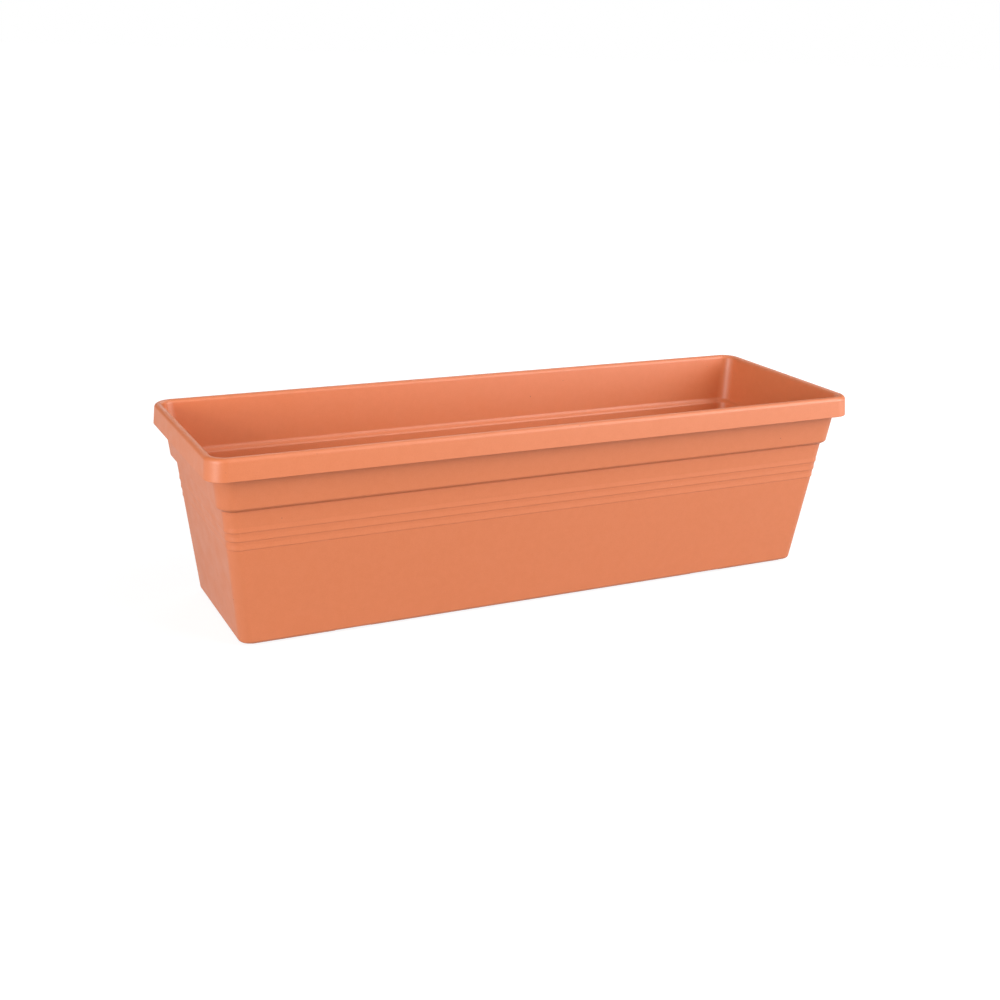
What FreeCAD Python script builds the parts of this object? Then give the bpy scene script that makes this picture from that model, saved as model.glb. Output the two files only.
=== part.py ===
import FreeCAD, Part
import math
import os

# Window box planter: one injection-moulded plastic trough with a folded-over rim, and the
# push-in plugs that close the drain holes in its floor.
#
# Millimetres. The origin is on the ground under the middle of the trough, X runs along the
# trough, Y to its back and Z up. Heights in the upper half hang from the top of the rim, and
# insets are measured inwards from the lower edge of the rim's skirt, the widest outline, on the
# long sides.

# ---- Trough, overall ----
LENGTH = 600.0              # over the lower edge of the rim's skirt
WIDTH = 196.2               # the same, across
HEIGHT = 167.1              # ground to the top of the rim
WALL = 1.6                  # walls, rim and skirt
FLOOR_THICKNESS = 1.8
END_DRAFT = 6.6             # lean of the two end walls, degrees
SIDE_DRAFT = 6.3            # lean of the two long walls, degrees
END_SPREAD = 0.5            # how much less the end walls are inset than the long walls

# ---- Rim: the wall folds over outwards and hangs down as a skirt ----
SKIRT_DEPTH = 18.0
SKIRT_DRAFT = 4.1           # the skirt spreads downwards, degrees
SKIRT_CORNER_R = 16.0
SKIRT_EDGE = 0.4            # bevel along the skirt's lower edge
RIM_OUTER_R = 3.6
RIM_INNER_R = 3.5

# ---- Band: the upper stretch of wall, set out over the body ----
BAND_INSET = 8.75           # from the skirt's lower edge in to the band, at that height
BAND_DEPTH = 26.5           # from the skirt's lower edge down to the band's lower edge
BAND_CORNER_R = 13.0
STEP_IN = 3.9               # from the band in to the body
STEP_SLOPE = 36.0           # slope of the step's underside, degrees
STEP_EDGE_R = 2.5           # rounding of the band's lower edge
STEP_ROOT_R = 1.0           # hollow where the step meets the body
LEDGE_EDGE_R = 2.5          # inside the trough: rounding of the ledge
LEDGE_ROOT_R = 4.0          # inside the trough: hollow where the ledge meets the band

# ---- Body ----
BODY_CORNER_R = 10.0
BASE_EDGE_R = 3.0
FLOOR_EDGE_R = 1.5          # inside the trough, where the walls meet the floor

# ---- Lapped ribs, moulded round the body below the step ----
RIB_COUNT = 3
RIB_DROP = 20.4             # from the band's lower edge down to the first crest
RIB_HEIGHT = 0.4            # how far a crest stands out
RIB_RAMP = 3.8              # height of the slope above a crest
RIB_RETURN = 1.0            # height of the slope below it
RIB_GAP = 2.6               # height of the plain wall between two ribs

# ---- Foot rail under the floor, open in two places on each long side ----
FOOT_HEIGHT = 2.5
FOOT_WIDTH = 3.0
FOOT_INSET = 6.5            # from the edge of the underside in to the rail
FOOT_CORNER_R = 6.0
FOOT_GAP = 31.0
FOOT_GAP_FROM_END = 96.5    # from the end of the underside to the middle of a gap

# ---- Drain holes, in one row down the middle of the floor, and their plugs ----
DRAIN_COUNT = 4             # the first and the last are in line with the gaps in the rail
DRAIN_HOLE_D = 14.0
SEAT_DEPTH = 0.6            # the plug's head sits in a shallow recess
SEAT_CLEARANCE = 0.5        # round the head
STEM_CLEARANCE = 0.08       # round the stem
PLUG_HEAD_LAP = 3.5         # how far the head reaches past the hole
PLUG_HEAD_THICKNESS = 2.0
PLUG_HEAD_EDGE = 0.6        # bevel round the head
PLUG_WALL = 1.6             # the stem is a hollow cup, open below
PLUG_GROUND_GAP = 1.0       # from the end of the stem to the ground
GRIP_LENGTH = 11.0
GRIP_THICKNESS = 2.4
GRIP_HEIGHT = 5.0
GRIP_EDGE_R = 0.8

# ---- Sizes that follow from the ones above ----
FLOOR_TOP = FOOT_HEIGHT + FLOOR_THICKNESS
SKIRT_EDGE_Z = HEIGHT - SKIRT_DEPTH
BAND_EDGE_Z = SKIRT_EDGE_Z - BAND_DEPTH
STEP_DROP = STEP_IN * math.tan(math.radians(STEP_SLOPE))
BODY_TOP_Z = BAND_EDGE_Z - STEP_DROP
BODY_INSET = BAND_INSET + STEP_IN
RIB_PITCH = RIB_RAMP + RIB_RETURN + RIB_GAP
SEAT_Z = FLOOR_TOP - SEAT_DEPTH
PLUG_HEAD_R = DRAIN_HOLE_D / 2 + PLUG_HEAD_LAP
OVERSHOOT = 1.0             # how far a cut runs past the face that it opens


def lean(draft, drop):
    """How far a face with this draft moves sideways over a drop in height."""
    return drop * math.tan(math.radians(draft))


def outline(half_x, half_y, corner_r, z):
    """Rectangle with quarter-round corners at height z: its corners and sides in turn."""
    up = FreeCAD.Vector(0, 0, 1)
    corners = []
    for sign_x, sign_y in ((1, -1), (1, 1), (-1, 1), (-1, -1)):
        centre = FreeCAD.Vector(sign_x * (half_x - corner_r), sign_y * (half_y - corner_r), z)
        middle = math.degrees(math.atan2(sign_y, sign_x))
        corners.append(Part.makeCircle(corner_r, centre, up, middle - 45, middle + 45))
    edges = []
    for corner, following in zip(corners, corners[1:] + corners[:1]):
        edges.append(corner)
        edges.append(Part.makeLine(corner.Vertexes[-1].Point, following.Vertexes[0].Point))
    return edges


def wall_outline(z, inset, corner_r):
    """Outline of a face that leans with the walls; inset is its value at the skirt's lower edge."""
    drop = SKIRT_EDGE_Z - z
    half_x = LENGTH / 2 - inset + END_SPREAD - lean(END_DRAFT, drop)
    half_y = WIDTH / 2 - inset - lean(SIDE_DRAFT, drop)
    return outline(half_x, half_y, corner_r, z)


def skirt_outline(z, inset, corner_r):
    """Outline of a face of the skirt, which spreads downwards."""
    rise = z - SKIRT_EDGE_Z
    half_x = LENGTH / 2 - inset - lean(SKIRT_DRAFT, rise)
    half_y = WIDTH / 2 - inset - lean(SKIRT_DRAFT, rise)
    return outline(half_x, half_y, corner_r, z)


def flank(low, high):
    """The face between two edges of stacked outlines: flat on a side, ruled round a corner."""
    if isinstance(low.Curve, Part.Circle):
        return Part.makeRuledSurface(low, high)
    ends = [low.Vertexes[0].Point, low.Vertexes[-1].Point, high.Vertexes[-1].Point, high.Vertexes[0].Point]
    return Part.Face(Part.makePolygon(ends + ends[:1]))


def loft(outlines):
    """Solid with straight flanks between outlines stacked in height.

    The top comes first, because sewing turns the other faces to agree with it.
    """
    faces = [Part.Face(Part.Wire(outlines[-1]))]
    for lower, upper in zip(outlines, outlines[1:]):
        faces += [flank(low, high) for low, high in zip(lower, upper)]
    faces.append(Part.Face(Part.Wire(outlines[0])))
    shell = Part.Shell(faces)
    shell.sewShape()
    return Part.Solid(shell)


def lies_at(shape, z):
    """Whether an edge or a face lies flat at height z."""
    box = shape.BoundBox
    return abs(box.ZMin - z) < 1e-4 and abs(box.ZMax - z) < 1e-4


def round_edges(solid, z, radius):
    """Fillet every edge that lies at height z."""
    return solid.makeFillet(radius, [edge for edge in solid.Edges if lies_at(edge, z)])


def round_ring(solid, z, outer_r, inner_r):
    """Fillet the outer and the inner edge of the flat ring at height z."""
    ring = [face for face in solid.Faces if lies_at(face, z)][0]
    solid = solid.makeFillet(outer_r, ring.OuterWire.Edges)
    ring = [face for face in solid.Faces if lies_at(face, z)][0]
    inner = [wire for wire in ring.Wires if not wire.isSame(ring.OuterWire)][0]
    return solid.makeFillet(inner_r, inner.Edges)


def body_outside():
    """The outside of floor, body, step and band, up to the top of the rim."""
    sections = [wall_outline(FOOT_HEIGHT, BODY_INSET, BODY_CORNER_R)]
    for number in reversed(range(RIB_COUNT)):
        crest_z = BAND_EDGE_Z - RIB_DROP - number * RIB_PITCH
        sections.append(wall_outline(crest_z - RIB_RETURN, BODY_INSET, BODY_CORNER_R))
        sections.append(wall_outline(crest_z, BODY_INSET - RIB_HEIGHT, BODY_CORNER_R))
        sections.append(wall_outline(crest_z + RIB_RAMP, BODY_INSET, BODY_CORNER_R))
    sections.append(wall_outline(BODY_TOP_Z, BODY_INSET, BODY_CORNER_R))
    sections.append(wall_outline(BAND_EDGE_Z, BAND_INSET, BAND_CORNER_R))
    sections.append(wall_outline(HEIGHT, BAND_INSET, BAND_CORNER_R))
    solid = loft(sections)
    solid = round_edges(solid, BAND_EDGE_Z, STEP_EDGE_R)
    solid = round_edges(solid, BODY_TOP_Z, STEP_ROOT_R)
    return round_edges(solid, FOOT_HEIGHT, BASE_EDGE_R)


def body_inside():
    """The space inside the trough: the outside drawn in by one wall, down to the floor."""
    side = WALL / math.cos(math.radians(SIDE_DRAFT))
    slope = math.radians(STEP_SLOPE)
    lift = WALL / math.cos(slope) - WALL * math.tan(slope)
    ledge_low = BODY_TOP_Z + lift
    ledge_high = BAND_EDGE_Z + lift
    body_r = BODY_CORNER_R - WALL
    band_r = BAND_CORNER_R - WALL
    sections = [
        wall_outline(FLOOR_TOP, BODY_INSET + side, body_r),
        wall_outline(ledge_low, BODY_INSET + side, body_r),
        wall_outline(ledge_high, BAND_INSET + side, band_r),
        wall_outline(HEIGHT + OVERSHOOT, BAND_INSET + side, band_r),
    ]
    space = loft(sections)
    space = round_edges(space, ledge_low, LEDGE_EDGE_R)
    space = round_edges(space, ledge_high, LEDGE_ROOT_R)
    return round_edges(space, FLOOR_TOP, FLOOR_EDGE_R)


def skirt():
    """The folded-over rim: a flat top with a skirt hanging from its outer edge, open below."""
    outer = loft([
        skirt_outline(SKIRT_EDGE_Z, SKIRT_EDGE, SKIRT_CORNER_R - SKIRT_EDGE),
        skirt_outline(SKIRT_EDGE_Z + SKIRT_EDGE, 0, SKIRT_CORNER_R),
        skirt_outline(HEIGHT, 0, SKIRT_CORNER_R),
    ])
    fold = RIM_OUTER_R - WALL
    inner_r = SKIRT_CORNER_R - WALL
    hollow = loft([
        skirt_outline(SKIRT_EDGE_Z - OVERSHOOT, WALL, inner_r),
        skirt_outline(HEIGHT - WALL - fold, WALL, inner_r),
        skirt_outline(HEIGHT - WALL, WALL + fold, inner_r - fold),
    ])
    return outer.cut(hollow)


def base_half_length():
    """Half the length of the underside."""
    return LENGTH / 2 - BODY_INSET + END_SPREAD - lean(END_DRAFT, SKIRT_EDGE_Z - FOOT_HEIGHT)


def base_half_width():
    """Half the width of the underside."""
    return WIDTH / 2 - BODY_INSET - lean(SIDE_DRAFT, SKIRT_EDGE_Z - FOOT_HEIGHT)


def gap_offset():
    """From the middle of the trough to the middle of a gap in the foot rail."""
    return base_half_length() - FOOT_GAP_FROM_END


def foot_rail():
    """A low rail round the underside, with gaps in its long sides that let water out."""
    blocks = []
    for inset in (0, FOOT_WIDTH):
        half_x = base_half_length() - FOOT_INSET - inset
        half_y = base_half_width() - FOOT_INSET - inset
        ring = Part.Wire(outline(half_x, half_y, FOOT_CORNER_R - inset, 0))
        blocks.append(Part.Face(ring).extrude(FreeCAD.Vector(0, 0, FOOT_HEIGHT + FLOOR_THICKNESS / 2)))
    rail = blocks[0].cut(blocks[1])
    for sign in (-1, 1):
        corner = FreeCAD.Vector(sign * gap_offset() - FOOT_GAP / 2, -WIDTH / 2, -OVERSHOOT)
        rail = rail.cut(Part.makeBox(FOOT_GAP, WIDTH, FOOT_HEIGHT + OVERSHOOT, corner))
    return rail


def drain_places():
    """The middles of the drain holes, evenly spaced from one pair of gaps to the other."""
    pitch = 2 * gap_offset() / (DRAIN_COUNT - 1)
    return [FreeCAD.Vector(number * pitch - gap_offset(), 0, 0) for number in range(DRAIN_COUNT)]


def drain_cut(place):
    """One drain hole with the recess for its plug's head."""
    hole = Part.makeCylinder(DRAIN_HOLE_D / 2, HEIGHT, place)
    seat_place = place + FreeCAD.Vector(0, 0, SEAT_Z)
    return hole.fuse(Part.makeCylinder(PLUG_HEAD_R + SEAT_CLEARANCE, HEIGHT, seat_place))


def trough_shell():
    """The trough as it comes out of the mould, in one piece."""
    shell = body_outside().fuse(skirt()).removeSplitter().cut(body_inside())
    shell = round_ring(shell, HEIGHT, RIM_OUTER_R, RIM_INNER_R)
    shell = shell.fuse(foot_rail())
    for place in drain_places():
        shell = shell.cut(drain_cut(place))
    return shell


def drain_plug(place):
    """A plug with a round head, a hollow stem that fits the drain hole, and a bar to pull it by."""
    stem_r = DRAIN_HOLE_D / 2 - STEM_CLEARANCE
    head_top = SEAT_Z + PLUG_HEAD_THICKNESS
    profile = [
        (0, SEAT_Z),
        (stem_r - PLUG_WALL, SEAT_Z),
        (stem_r - PLUG_WALL, PLUG_GROUND_GAP),
        (stem_r, PLUG_GROUND_GAP),
        (stem_r, SEAT_Z),
        (PLUG_HEAD_R, SEAT_Z),
        (PLUG_HEAD_R, head_top - PLUG_HEAD_EDGE),
        (PLUG_HEAD_R - PLUG_HEAD_EDGE, head_top),
        (0, head_top),
    ]
    points = [FreeCAD.Vector(radius, 0, z) for radius, z in profile + profile[:1]]
    turned = Part.Face(Part.makePolygon(points)).revolve(FreeCAD.Vector(), FreeCAD.Vector(0, 0, 1), 360)
    rooted = PLUG_HEAD_THICKNESS / 2
    grip_corner = FreeCAD.Vector(-GRIP_LENGTH / 2, -GRIP_THICKNESS / 2, head_top - rooted)
    grip = Part.makeBox(GRIP_LENGTH, GRIP_THICKNESS, GRIP_HEIGHT + rooted, grip_corner)
    grip = round_edges(grip, head_top + GRIP_HEIGHT, GRIP_EDGE_R)
    plug = turned.fuse(grip)
    plug.translate(place)
    return plug


def save(node, shape):
    """Write one node's solid to its own file."""
    solid = shape.Solids[0]
    print(node, "solids", len(shape.Solids), "valid", solid.isValid(), "volume", round(solid.Volume))
    solid.exportStep(os.path.join("parts", node + ".step"))


os.makedirs("parts", exist_ok=True)
save("trough_shell", trough_shell())
for index, drain in enumerate(drain_places()):
    save("drain_plug_%d" % (index + 1), drain_plug(drain))
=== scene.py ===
import math

import bmesh
import bpy
from mathutils import Matrix, Vector


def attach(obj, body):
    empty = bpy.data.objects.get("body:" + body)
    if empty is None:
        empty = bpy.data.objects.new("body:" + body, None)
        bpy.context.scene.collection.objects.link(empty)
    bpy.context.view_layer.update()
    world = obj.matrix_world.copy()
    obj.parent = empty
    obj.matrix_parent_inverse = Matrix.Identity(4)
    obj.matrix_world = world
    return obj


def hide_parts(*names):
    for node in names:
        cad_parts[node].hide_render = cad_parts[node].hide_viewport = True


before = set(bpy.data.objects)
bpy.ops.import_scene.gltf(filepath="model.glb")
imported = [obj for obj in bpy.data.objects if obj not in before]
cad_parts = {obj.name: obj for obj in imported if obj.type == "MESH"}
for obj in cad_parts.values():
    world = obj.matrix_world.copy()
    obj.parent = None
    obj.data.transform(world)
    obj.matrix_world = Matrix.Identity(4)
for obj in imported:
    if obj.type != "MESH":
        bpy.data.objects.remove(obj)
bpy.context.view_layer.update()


# ---- Trough ----
# One injection moulding in 1.6 mm plastic: floor, leaning walls, a band that steps out over the
# body, and a rim that folds over and hangs down as a skirt. Everything runs round in one piece.
length, width, height = 0.600, 0.1962, 0.1671
wall, floor_thickness = 0.0016, 0.0018
end_lean, side_lean, skirt_lean, step_lean = 6.6, 6.3, 4.1, 36
end_draft, side_draft, skirt_draft, step_slope = (
    math.tan(math.radians(lean)) for lean in (end_lean, side_lean, skirt_lean, step_lean))
skirt_depth, band_depth, band_inset, step_in = 0.0180, 0.0265, 0.00875, 0.0039
end_spread = 0.0005          # the end walls are inset that much less than the long walls
body_corner, band_corner, skirt_corner = 0.0100, 0.0130, 0.0160
skirt_z = height - skirt_depth
band_z = skirt_z - band_depth
body_z = band_z - step_in * step_slope
body_inset = band_inset + step_in
side_wall = wall / math.cos(math.atan(side_draft))
ledge_lift = wall / math.cos(math.atan(step_slope)) - wall * step_slope
foot_height, foot_inset, foot_width, foot_corner = 0.0025, 0.0065, 0.0030, 0.0060
floor_z = foot_height + floor_thickness
corner_steps = 14

trough = bmesh.new()
turn = trough.verts.layers.float.new("turn")
for index, vert in enumerate(bmesh.ops.create_circle(trough, segments=4 * (corner_steps + 1), radius=1)["verts"]):
    quarter, step = divmod(index, corner_steps + 1)
    vert[turn] = 2 * quarter + step / corner_steps


def once(items):
    """Each item once, in the order they come."""
    return list(dict.fromkeys(items))


def corners_of(edges):
    """The corners that these edges join."""
    return once(vert for edge in edges for vert in edge.verts)


def stand(edges, half_x, half_y, corner, z):
    """Sets a ring out as a rectangle with round corners at height z."""
    for vert in corners_of(edges):
        quarter, part = divmod(vert[turn], 2)
        angle = math.radians(90 * (quarter + part))
        side_x = 1 if quarter in (0, 3) else -1
        side_y = 1 if quarter < 2 else -1
        vert.co = (side_x * (half_x - corner) + corner * math.cos(angle),
                   side_y * (half_y - corner) + corner * math.sin(angle), z)


def wall_ring(edges, z, inset, corner):
    """Sets a ring out on the leaning walls, this far in from the rim's outside."""
    drop = skirt_z - z
    stand(edges, length / 2 - inset + end_spread - end_draft * drop, width / 2 - inset - side_draft * drop,
          corner, z)


def skirt_ring(edges, z, inset, corner):
    """Sets a ring out on the skirt, which leans its own way."""
    rise = (z - skirt_z) * skirt_draft
    stand(edges, length / 2 - inset - rise, width / 2 - inset - rise, corner, z)


def grow(mesh, edges):
    """Extrudes a ring of edges and gives the new ring."""
    made = bmesh.ops.extrude_edge_only(mesh, edges=edges)["geom"]
    return [item for item in made if isinstance(item, bmesh.types.BMEdge)]


# Under the floor: two rings in from the foot of the walls, for the foot rail.
base = trough.edges[:]
wall_ring(base, foot_height, body_inset, body_corner)
base_half_x = max(vert.co.x for vert in trough.verts)
base_half_y = max(vert.co.y for vert in trough.verts)
rail_outer = grow(trough, base)
stand(rail_outer, base_half_x - foot_inset, base_half_y - foot_inset, foot_corner, foot_height)
rail_inner = grow(trough, rail_outer)
stand(rail_inner, base_half_x - foot_inset - foot_width, base_half_y - foot_inset - foot_width,
      foot_corner - foot_width, foot_height)

# Up the outside: the three lapped ribs, the step out to the band, and on up under the rim.
rib_height, rib_ramp, rib_return, rib_pitch, rib_drop = 0.00040, 0.0038, 0.0010, 0.0074, 0.0204
crests, rib_roots, ring = [], [], base
for number in (2, 1, 0):
    crest_z = band_z - rib_drop - number * rib_pitch
    for z, inset, kept in ((crest_z - rib_return, body_inset, rib_roots),
                           (crest_z, body_inset - rib_height, crests),
                           (crest_z + rib_ramp, body_inset, rib_roots)):
        ring = grow(trough, ring)
        wall_ring(ring, z, inset, body_corner)
        kept += ring
step_root = grow(trough, ring)
wall_ring(step_root, body_z, body_inset, body_corner)
step_edge = grow(trough, step_root)
wall_ring(step_edge, band_z, band_inset, band_corner)
groove_inner = grow(trough, step_edge)
wall_ring(groove_inner, height - wall, band_inset, band_corner)

# Over the rim: down the inside of the skirt, round its lower edge, up its face and over the top.
groove_outer = grow(trough, groove_inner)
skirt_ring(groove_outer, height - wall, wall, skirt_corner - wall)
skirt_inner = grow(trough, groove_outer)
skirt_ring(skirt_inner, skirt_z, wall, skirt_corner - wall)
skirt_outer = grow(trough, skirt_inner)
skirt_ring(skirt_outer, skirt_z, 0, skirt_corner)
rim_outer = grow(trough, skirt_outer)
skirt_ring(rim_outer, height, 0, skirt_corner)
rim_inner = grow(trough, rim_outer)
wall_ring(rim_inner, height, band_inset + side_wall, band_corner - wall)

# Down the inside: the ledge behind the step, then the body and the floor.
floor_margin = 0.0030
ledge_root = grow(trough, rim_inner)
wall_ring(ledge_root, band_z + ledge_lift, band_inset + side_wall, band_corner - wall)
ledge_edge = grow(trough, ledge_root)
wall_ring(ledge_edge, body_z + ledge_lift, body_inset + side_wall, body_corner - wall)
floor_edge = grow(trough, ledge_edge)
wall_ring(floor_edge, floor_z, body_inset + side_wall, body_corner - wall)
floor_field = grow(trough, floor_edge)
wall_ring(floor_field, floor_z, body_inset + side_wall + floor_margin, body_corner - wall - floor_margin)

# Four drain holes in one row, each with a shallow recess above for the head of its plug. The row
# ends level with the gaps in the foot rail.
foot_gap, foot_gap_from_end = 0.031, 0.0965
hole_radius, seat_radius, seat_depth, plug_clearance = 0.0070, 0.0110, 0.0006, 0.00008
hole_count, hole_sides, collar_spread = 4, 48, 1.1
gap_x = base_half_x - foot_gap_from_end
drain_xs = [gap_x * (number / ((hole_count - 1) / 2) - 1) for number in range(hole_count)]
seat_z = floor_z - seat_depth
hole_edges, mouth_edges, collar_edges = [], [], []
for x in drain_xs:
    hole_axis = Matrix.Translation((-x, 0, 0))
    made = bmesh.ops.create_circle(trough, segments=hole_sides, radius=hole_radius,
                                   matrix=Matrix.Translation((x, 0, foot_height)))
    hole = once(edge for vert in made["verts"] for edge in vert.link_edges)
    throat = grow(trough, hole)
    bmesh.ops.translate(trough, vec=(0, 0, seat_z - foot_height), verts=corners_of(throat))
    seat = grow(trough, throat)
    bmesh.ops.scale(trough, vec=(seat_radius / hole_radius,) * 2 + (1,), space=hole_axis, verts=corners_of(seat))
    mouth = grow(trough, seat)
    bmesh.ops.translate(trough, vec=(0, 0, seat_depth), verts=corners_of(mouth))
    collar = grow(trough, mouth)
    bmesh.ops.scale(trough, vec=(collar_spread, collar_spread, 1), space=hole_axis, verts=corners_of(collar))
    hole_edges += hole
    mouth_edges += mouth
    collar_edges += collar
bmesh.ops.triangle_fill(trough, use_beauty=True, normal=(0, 0, -1), edges=rail_inner + hole_edges)
bmesh.ops.triangle_fill(trough, use_beauty=True, normal=(0, 0, 1), edges=floor_field + collar_edges)


def soften(mesh, edges, offset, segments):
    """Rounds edges over from this far back on either side."""
    bmesh.ops.bevel(mesh, geom=edges, affect="EDGES", offset_type="OFFSET", profile=0.5, material=-1,
                    offset=offset, segments=segments, clamp_overlap=True)


def rounded(mesh, edges, radius, turned, segments):
    """Rounds a loop of edges where the surface turns through this many degrees."""
    soften(mesh, edges, radius * math.tan(math.radians(turned / 2)), segments)


to_wall, to_skirt, to_step = 90 - side_lean, 90 - skirt_lean, 90 - step_lean - side_lean
rounded(trough, base, radius=0.0030, turned=to_wall, segments=6)
rounded(trough, crests, radius=0.0012, turned=28, segments=2)
rounded(trough, rib_roots, radius=0.0012, turned=14, segments=2)
rounded(trough, step_root, radius=0.0010, turned=to_step, segments=3)
rounded(trough, step_edge, radius=0.0025, turned=to_step, segments=6)
rounded(trough, groove_outer, radius=0.0015, turned=to_skirt, segments=4)
rounded(trough, groove_inner, radius=0.0010, turned=180 - to_wall, segments=3)
rounded(trough, skirt_inner + skirt_outer, radius=0.0005, turned=90, segments=3)
rounded(trough, rim_outer, radius=0.0036, turned=to_skirt, segments=8)
rounded(trough, rim_inner, radius=0.0035, turned=to_wall, segments=8)
rounded(trough, ledge_root, radius=0.0040, turned=to_step, segments=6)
rounded(trough, ledge_edge, radius=0.0025, turned=to_step, segments=5)
rounded(trough, floor_edge, radius=0.0015, turned=to_wall, segments=4)
rounded(trough, mouth_edges, radius=0.0003, turned=90, segments=2)

# The foot rail hangs from the underside, with a gap near each end of both long sides.
level, welded = 1e-5, 1e-6
half_gap = foot_gap / 2
for x in (-gap_x - half_gap, -gap_x + half_gap, gap_x - half_gap, gap_x + half_gap):
    bmesh.ops.bisect_plane(trough, geom=trough.verts[:] + trough.edges[:] + trough.faces[:],
                           plane_co=(x, 0, 0), plane_no=(1, 0, 0))


def under_rail(face):
    centre = face.calc_center_median()
    flat = all(abs(vert.co.z - foot_height) < level for vert in face.verts)
    inner_x, inner_y = base_half_x - foot_inset - foot_width, base_half_y - foot_inset - foot_width
    beside = max(abs(centre.x) - inner_x, abs(centre.y) - inner_y)
    return flat and 0 < beside < foot_width and abs(abs(centre.x) - gap_x) > half_gap


footprint = [face for face in trough.faces if under_rail(face)]
made = bmesh.ops.extrude_face_region(trough, geom=footprint)["geom"]
bmesh.ops.translate(trough, vec=(0, 0, -foot_height), verts=[v for v in made if isinstance(v, bmesh.types.BMVert)])
bmesh.ops.delete(trough, geom=footprint, context="FACES")
bmesh.ops.remove_doubles(trough, verts=trough.verts, dist=welded)
bmesh.ops.recalc_face_normals(trough, faces=trough.faces)
treads = [edge for edge in trough.edges
          if all(abs(vert.co.z) < level for vert in edge.verts) and edge.calc_face_angle(0) > 1]
soften(trough, treads, 0.0004, 2)


def plastic(name, base, warm, pale, dark, roughness, grain):
    """Coloured polypropylene, moulded against a finely etched tool: an eggshell grain, a faint
    mottling where the colour didn't mix quite evenly, and a few dark and pale specks of pigment."""
    material = bpy.data.materials.new(name)
    material.use_nodes = True
    nodes, links = material.node_tree.nodes, material.node_tree.links
    shader = nodes["Principled BSDF"]
    shader.inputs["Specular IOR Level"].default_value = 0.84
    shader.inputs["IOR"].default_value = 1.49
    place = nodes.new("ShaderNodeTexCoord")

    def noise(scale, detail, rough=0.5):
        node = nodes.new("ShaderNodeTexNoise")
        node.inputs["Scale"].default_value = scale
        node.inputs["Detail"].default_value = detail
        node.inputs["Roughness"].default_value = rough
        links.new(place.outputs["Object"], node.inputs["Vector"])
        return node.outputs["Fac"]

    def spread(value, low, high, to_low, to_high):
        node = nodes.new("ShaderNodeMapRange")
        node.inputs["From Min"].default_value = low
        node.inputs["From Max"].default_value = high
        node.inputs["To Min"].default_value = to_low
        node.inputs["To Max"].default_value = to_high
        links.new(value, node.inputs["Value"])
        return node.outputs["Result"]

    def blend(factor, first, second):
        node = nodes.new("ShaderNodeMix")
        node.data_type = "RGBA"
        links.new(factor, node.inputs["Factor"])
        for socket, value in ((node.inputs["A"], first), (node.inputs["B"], second)):
            if isinstance(value, tuple):
                socket.default_value = value
            else:
                links.new(value, socket)
        return node.outputs["Result"]

    def times(first, second):
        node = nodes.new("ShaderNodeMath")
        node.operation = "MULTIPLY"
        for socket, value in zip(node.inputs, (first, second)):
            if isinstance(value, float):
                socket.default_value = value
            else:
                links.new(value, socket)
        return node.outputs["Value"]

    def specks(cell, radius, share):
        """1 inside small round specks, one in each of this share of the cells."""
        node = nodes.new("ShaderNodeTexVoronoi")
        node.inputs["Scale"].default_value = 1 / cell
        links.new(place.outputs["Object"], node.inputs["Vector"])
        kept = nodes.new("ShaderNodeSeparateColor")
        links.new(node.outputs["Color"], kept.inputs["Color"])
        inside = spread(node.outputs["Distance"], radius / cell * 0.5, radius / cell, 1.0, 0.0)
        return times(inside, spread(kept.outputs["Red"], share - 0.01, share + 0.01, 1.0, 0.0))

    # Mottling a few millimetres across, clouds of some centimetres, and the grain under a millimetre.
    mottled = blend(spread(noise(150, 3), 0.35, 0.65, 0.0, 0.5), base, warm)
    clouded = blend(spread(noise(14, 2), 0.3, 0.7, 0.0, 0.12), mottled, pale)
    grained = blend(spread(noise(1500, 2), 0.3, 0.7, 0.0, 0.22), clouded, dark)
    soot, chalk = (0.16, 0.05, 0.03, 1.0), (0.95, 0.62, 0.45, 1.0)
    specked = blend(times(specks(cell=0.012, radius=0.0006, share=0.16), 0.75), grained, soot)
    flecked = blend(times(specks(cell=0.017, radius=0.0005, share=0.10), 0.6), specked, chalk)
    links.new(flecked, shader.inputs["Base Color"])
    links.new(spread(noise(60, 3), 0.3, 0.7, roughness - 0.04, roughness + 0.05), shader.inputs["Roughness"])
    bump = nodes.new("ShaderNodeBump")
    bump.inputs["Strength"].default_value = grain
    bump.inputs["Distance"].default_value = 0.0004
    links.new(noise(1100, 4, 0.6), bump.inputs["Height"])
    links.new(bump.outputs["Normal"], shader.inputs["Normal"])
    return material


def piece(name, mesh, material, body, node):
    """Makes a finished mesh the piece that stands for one moulding."""
    data = bpy.data.meshes.new(name)
    mesh.to_mesh(data)
    mesh.free()
    for polygon in data.polygons:
        polygon.use_smooth = True
    data.materials.append(material)
    made = bpy.data.objects.new(name, data)
    bpy.context.scene.collection.objects.link(made)
    even = made.modifiers.new("even shading", "WEIGHTED_NORMAL")
    even.weight = 50
    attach(made, body)
    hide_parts(node)


terracotta = plastic("terracotta_plastic", base=(0.690, 0.194, 0.070, 1.0), warm=(0.660, 0.178, 0.058, 1.0),
                     pale=(0.720, 0.210, 0.082, 1.0), dark=(0.540, 0.125, 0.040, 1.0), roughness=0.45, grain=0.12)
piece("trough_moulding", trough, terracotta, "trough", "trough_shell")


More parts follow.
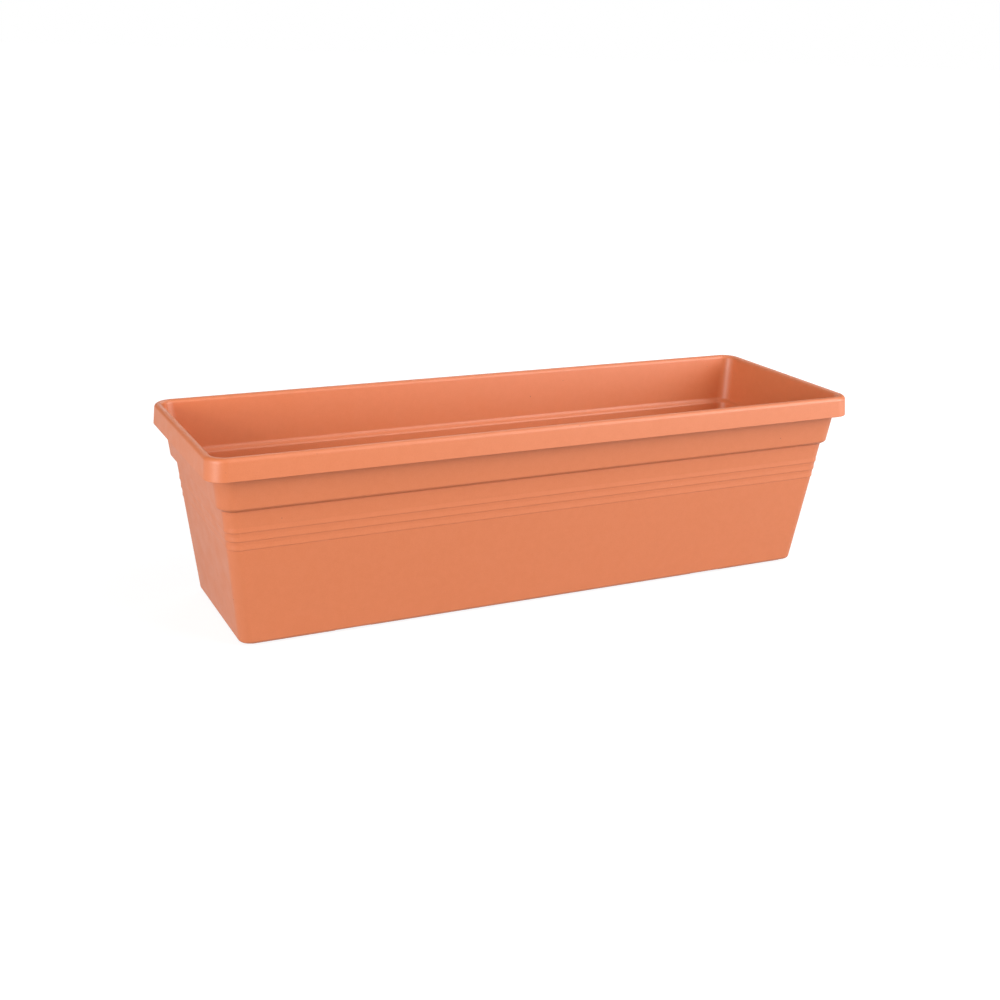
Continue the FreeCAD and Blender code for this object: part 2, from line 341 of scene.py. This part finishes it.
# ---- Drain plugs ----
# Small moulded push-in plugs: a flat head that seats in the recess, a hollow stem that fits the
# drain hole, and a thin bar across the head to pull the plug out by. They lift straight up.
stem_radius, stem_wall, stem_foot = hole_radius - plug_clearance, 0.0016, 0.0010
head_radius, head_top, head_edge = 0.0105, seat_z + 0.0020, 0.0006
grip_length, grip_thickness, grip_height, grip_root, grip_edge = 0.0110, 0.0024, 0.0050, 0.0010, 0.0008
for number, x in enumerate(drain_xs, start=1):
    plug = bmesh.new()
    outline = [(0, seat_z), (stem_radius - stem_wall, seat_z), (stem_radius - stem_wall, stem_foot),
               (stem_radius, stem_foot), (stem_radius, seat_z), (head_radius, seat_z),
               (head_radius, head_top), (0, head_top)]
    line = [plug.verts.new((radius, 0, z)) for radius, z in outline]
    for first, second in zip(line, line[1:]):
        plug.edges.new((first, second))
    bmesh.ops.spin(plug, geom=plug.verts[:] + plug.edges[:], cent=(0, 0, 0), axis=(0, 0, 1), dvec=(0, 0, 0),
                   angle=2 * math.pi, steps=hole_sides, use_merge=True)
    bmesh.ops.remove_doubles(plug, verts=plug.verts, dist=welded)
    lip = [edge for edge in plug.edges
           if all(abs(v.co.z - head_top) < welded and v.co.xy.length > head_radius - level for v in edge.verts)]
    soften(plug, lip, head_edge, 3)
    bar = bmesh.ops.create_cube(plug, size=1)["verts"]
    bmesh.ops.scale(plug, vec=(grip_length, grip_thickness, grip_height + grip_root), verts=bar)
    bmesh.ops.translate(plug, vec=(0, 0, head_top + (grip_height - grip_root) / 2), verts=bar)
    ends = once(edge for vert in bar for edge in vert.link_edges if all(v.co.z > head_top for v in edge.verts))
    soften(plug, ends, grip_edge, 3)
    bmesh.ops.recalc_face_normals(plug, faces=plug.faces)
    bmesh.ops.translate(plug, vec=(x, 0, 0), verts=plug.verts)
    piece("drain_plug_moulding_%d" % number, plug, terracotta, "plug_%d" % number, "drain_plug_%d" % number)


# ---- Floor ----
# A plain pale floor. To the camera, and fainter in the plastic's sheen, it shows brighter than it
# lights the trough, so that it runs out to white, and it keeps the trough's soft shadow.
paper = bpy.data.materials.new("paper")
paper.use_nodes = True
nodes, links = paper.node_tree.nodes, paper.node_tree.links
nodes.remove(nodes["Principled BSDF"])
matt = nodes.new("ShaderNodeBsdfDiffuse")
matt.inputs["Color"].default_value = (0.28, 0.28, 0.28, 1.0)
shine = nodes.new("ShaderNodeEmission")
shine.inputs["Color"].default_value = (1.0, 1.0, 1.0, 1.0)
seen = nodes.new("ShaderNodeLightPath")
mirrored = nodes.new("ShaderNodeMath")
mirrored.operation = "MULTIPLY_ADD"
mirrored.inputs[1].default_value = 0.75
links.new(seen.outputs["Is Glossy Ray"], mirrored.inputs[0])
links.new(seen.outputs["Is Camera Ray"], mirrored.inputs[2])
# The floor's glow is painted fainter near the trough and rises to full white from 0.4 to 1.3 m out: a painted
# shade on the floor round the trough, on top of its real shadow.
place = nodes.new("ShaderNodeTexCoord")
away = nodes.new("ShaderNodeVectorMath")
away.operation = "LENGTH"
links.new(place.outputs["Object"], away.inputs[0])
whiter = nodes.new("ShaderNodeMapRange")
whiter.interpolation_type = "SMOOTHSTEP"
whiter.inputs["From Min"].default_value = 0.4
whiter.inputs["From Max"].default_value = 1.3
whiter.inputs["To Min"].default_value = 0.84
whiter.inputs["To Max"].default_value = 1.02
links.new(away.outputs["Value"], whiter.inputs["Value"])
glow = nodes.new("ShaderNodeMath")
glow.operation = "MULTIPLY"
links.new(whiter.outputs["Result"], glow.inputs[0])
links.new(mirrored.outputs["Value"], glow.inputs[1])
links.new(glow.outputs["Value"], shine.inputs["Strength"])
both = nodes.new("ShaderNodeAddShader")
links.new(matt.outputs["BSDF"], both.inputs[0])
links.new(shine.outputs["Emission"], both.inputs[1])
links.new(both.outputs["Shader"], nodes["Material Output"].inputs["Surface"])
floor_half, floor_drop = 60, 0.0002
ground = bmesh.new()
bmesh.ops.create_grid(ground, x_segments=1, y_segments=1, size=floor_half)
bmesh.ops.translate(ground, vec=(0, 0, -floor_drop), verts=ground.verts)
data = bpy.data.meshes.new("floor")
ground.to_mesh(data)
ground.free()
data.materials.append(paper)
floor = bpy.data.objects.new("floor", data)
bpy.context.scene.collection.objects.link(floor)


# ---- Light ----
# A white studio: the world shows as white to the camera and faintly in reflections, and soft
# boxes stand round the trough, the strongest of them low at the left and high at the right.
world = bpy.data.worlds.new("studio")
bpy.context.scene.world = world
world.use_nodes = True
nodes, links = world.node_tree.nodes, world.node_tree.links
seen = nodes.new("ShaderNodeLightPath")
mirrored = nodes.new("ShaderNodeMapRange")
mirrored.inputs["To Min"].default_value = 0.03
mirrored.inputs["To Max"].default_value = 0.18
links.new(seen.outputs["Is Glossy Ray"], mirrored.inputs["Value"])
shown = nodes.new("ShaderNodeMath")
shown.operation = "MAXIMUM"
links.new(seen.outputs["Is Camera Ray"], shown.inputs[0])
links.new(mirrored.outputs["Result"], shown.inputs[1])
links.new(shown.outputs["Value"], nodes["Background"].inputs["Strength"])
nodes["Background"].inputs["Color"].default_value = (1.0, 1.0, 1.0, 1.0)
lit_point, lamp_distance = Vector((0, 0, 0.1)), 2.3


def softbox(name, turned, raised, wide, tall, watts):
    """A diffused lamp, turned from the front to the right and raised by these degrees."""
    lamp = bpy.data.lights.new(name, "AREA")
    lamp.shape, lamp.size, lamp.size_y, lamp.energy = "RECTANGLE", wide, tall, watts
    held = bpy.data.objects.new(name, lamp)
    around, up = math.radians(turned), math.radians(raised)
    outward = Vector((math.sin(around) * math.cos(up), -math.cos(around) * math.cos(up), math.sin(up)))
    held.location = lit_point + lamp_distance * outward
    held.rotation_euler = outward.to_track_quat("Z", "Y").to_euler()
    bpy.context.scene.collection.objects.link(held)


softbox("left_low", turned=300, raised=12, wide=0.9, tall=0.9, watts=31)
softbox("left_high", turned=300, raised=38, wide=1.2, tall=1.0, watts=12.5)
softbox("left_end", turned=270, raised=12, wide=0.9, tall=0.9, watts=5)
softbox("front_low", turned=30, raised=12, wide=0.9, tall=0.9, watts=11)
softbox("right_low", turned=60, raised=13, wide=0.9, tall=0.9, watts=21)
softbox("right_high", turned=47, raised=38, wide=1.8, tall=1.6, watts=26)
softbox("overhead", turned=60, raised=64, wide=1.9, tall=1.9, watts=10)
softbox("behind_high", turned=150, raised=38, wide=1.2, tall=1.0, watts=8.5)
softbox("behind_low", turned=180, raised=12, wide=0.9, tall=0.9, watts=4)


# ---- Camera ----
# The photograph's place and angle, worked out from the trough's own long edges and corners. It
# stands about a metre off, to the left of the front, and looks a little down.
camera = bpy.data.cameras.new("camera")
camera.sensor_width, camera.lens, camera.clip_start, camera.clip_end = 36.0, 49.08, 0.01, 200.0
held = bpy.data.objects.new("camera", camera)
held.location = (-0.5315, -1.04741, 0.46195)
held.rotation_euler = tuple(math.radians(angle) for angle in (71.6032, -1.7453, -25.8519))
bpy.context.scene.collection.objects.link(held)
bpy.context.scene.camera = held
bpy.context.scene.view_settings.view_transform = "Standard"
